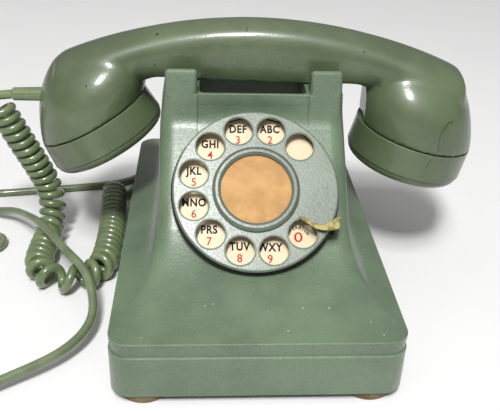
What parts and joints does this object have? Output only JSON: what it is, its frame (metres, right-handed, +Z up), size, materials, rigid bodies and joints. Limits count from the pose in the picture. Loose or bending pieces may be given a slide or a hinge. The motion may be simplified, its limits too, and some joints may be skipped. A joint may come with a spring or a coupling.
{
  "type": "rotary desk telephone",
  "caption": "Rotary dial desk telephone with a curved handset resting in a four-eared cradle, flared base, coiled handset cord and line cord.",
  "frame": {"origin": "on the table, under the middle of the whole telephone's box without its cords, 3.2 mm left and 1.6 mm behind the middle of the base's plan", "axes": "+X to the telephone's right as its user sees it, +Y to its back, +Z up; the dial faces -Y and leans back"},
  "size_m": [0.3205, 0.3364, 0.1338],
  "materials": {
    "housing_paint": "green baked paint, soft sheen, fine metallic speckle",
    "handset_plastic": "olive green moulding, worn gloss",
    "cap_plastic": "olive green moulding",
    "dial_paint": "grey green paint with a metallic speckle",
    "ring_paint": "dark green paint",
    "number_enamel": "cream enamel with printed characters",
    "card_paper": "aged tan card",
    "clear_window": "clear sheet",
    "stop_brass": "worn yellow metal",
    "works_brass": "machined brass",
    "works_steel": "plated steel",
    "case_steel": "dull plated pressing",
    "base_black": "black japanned steel",
    "foot_leather": "tan leather disc",
    "cord_rubber": "glossy green moulded cord",
    "grommet_rubber": "dark rubber",
    "switch_plastic": "black moulding",
    "coil_wrap": "varnished winding wrap",
    "can_paint": "grey painted can",
    "plug_plastic": "dark green moulding"
  },
  "bodies": {
    "base": {"housing": "housing_paint", "base_plate": "base_black", "feet": "foot_leather", "base_screws": "works_steel", "handset_cord_grommet": "grommet_rubber", "line_cord_grommet": "grommet_rubber", "number_plate": "number_enamel", "dial_case": "case_steel", "finger_stop": "stop_brass", "return_spring": "works_steel", "governor_cup": "works_brass", "pulse_springs": "works_brass", "lever_pin": "works_steel", "switch_bracket": "case_steel", "hook_contacts": "works_brass", "gong_left": "works_brass", "gong_right": "works_brass", "gong_posts": "works_steel", "gong_screws": "works_steel", "ringer_frame": "case_steel", "ringer_coil_left": "coil_wrap", "ringer_coil_right": "coil_wrap", "clapper_pin": "works_steel", "induction_coil": "coil_wrap", "condenser": "can_paint", "terminal_strip": "switch_plastic", "terminal_screws": "works_brass", "handset_cord_tail": "cord_rubber", "handset_cord_curl": "cord_rubber", "handset_cord_end": "cord_rubber", "line_cord_run": "cord_rubber", "line_cord_coil": "cord_rubber", "line_cord_lead": "cord_rubber", "line_plug": "plug_plastic", "line_plug_pins": "works_brass"},
    "dial": {"finger_wheel": "dial_paint", "number_card": "card_paper", "card_window": "clear_window", "retainer_ring": "ring_paint", "dial_shaft": "works_steel", "main_gear": "works_brass"},
    "pinion_body": {"pinion": "works_brass", "worm_wheel": "works_brass", "pulse_cam": "switch_plastic"},
    "governor": {"governor_shaft": "works_steel", "governor_weights": "works_brass"},
    "left_plunger": {"plunger_left": "switch_plastic"},
    "right_plunger": {"plunger_right": "switch_plastic"},
    "lever": {"hook_lever": "works_steel"},
    "hammer": {"clapper": "works_brass"},
    "handset": {"handset_shell": "handset_plastic", "transmitter_cap": "cap_plastic", "receiver_cap": "cap_plastic", "transmitter_unit": "case_steel", "receiver_unit": "case_steel", "transmitter_contacts": "works_brass", "cord_sleeve": "cord_rubber"}
  },
  "joints": [
    {"name": "handset_lift", "type": "slide", "parent": "base", "child": "handset", "axis": [0, 0, 1], "range_m": [0, 0.08]},
    {"name": "plunger_left_slide", "type": "slide", "parent": "base", "child": "left_plunger", "axis": [0, 0, 1], "range_m": [0, 0.006]},
    {"name": "plunger_right_slide", "type": "slide", "parent": "base", "child": "right_plunger", "axis": [0, 0, 1], "range_m": [0, 0.006]},
    {"name": "lever_swing", "type": "hinge", "parent": "base", "child": "lever", "pos_m": [0.00317, 0.0434, 0.07], "axis": [-1, 0, 0], "range_deg": [0, 14.4]},
    {"name": "dial_turn", "type": "hinge", "parent": "base", "child": "dial", "pos_m": [0.00317, -0.04524, 0.07351], "axis": [0, 0.7158, -0.6983], "range_deg": [0, 330], "stiffness_Nm_per_rad": 0.01, "springref_deg": -57.3},
    {"name": "pinion_spin", "type": "hinge", "parent": "base", "child": "pinion_body", "pos_m": [0.02217, -0.04648, 0.05362], "axis": [0, 0.7158, -0.6983], "range_deg": [-1325, 5]},
    {"name": "governor_spin", "type": "hinge", "parent": "base", "child": "governor", "pos_m": [0.01157, -0.04458, 0.04912], "axis": [0, 0.6983, 0.7158], "range_deg": [-5, 3965]},
    {"name": "clapper_swing", "type": "hinge", "parent": "base", "child": "hammer", "pos_m": [0.00317, 0.0304, 0.0165], "axis": [0, 0, 1], "range_deg": [-4, 4], "stiffness_Nm_per_rad": 0.002}
  ],
  "couplings": [
    {"joint": "plunger_left_slide", "follows": "handset_lift", "ratio": 0.075},
    {"joint": "plunger_right_slide", "follows": "handset_lift", "ratio": 0.075},
    {"joint": "lever_swing", "follows": "handset_lift", "rad_per_m": 3.125},
    {"joint": "pinion_spin", "follows": "dial_turn", "ratio": -4},
    {"joint": "governor_spin", "follows": "dial_turn", "ratio": 12}
  ]
}
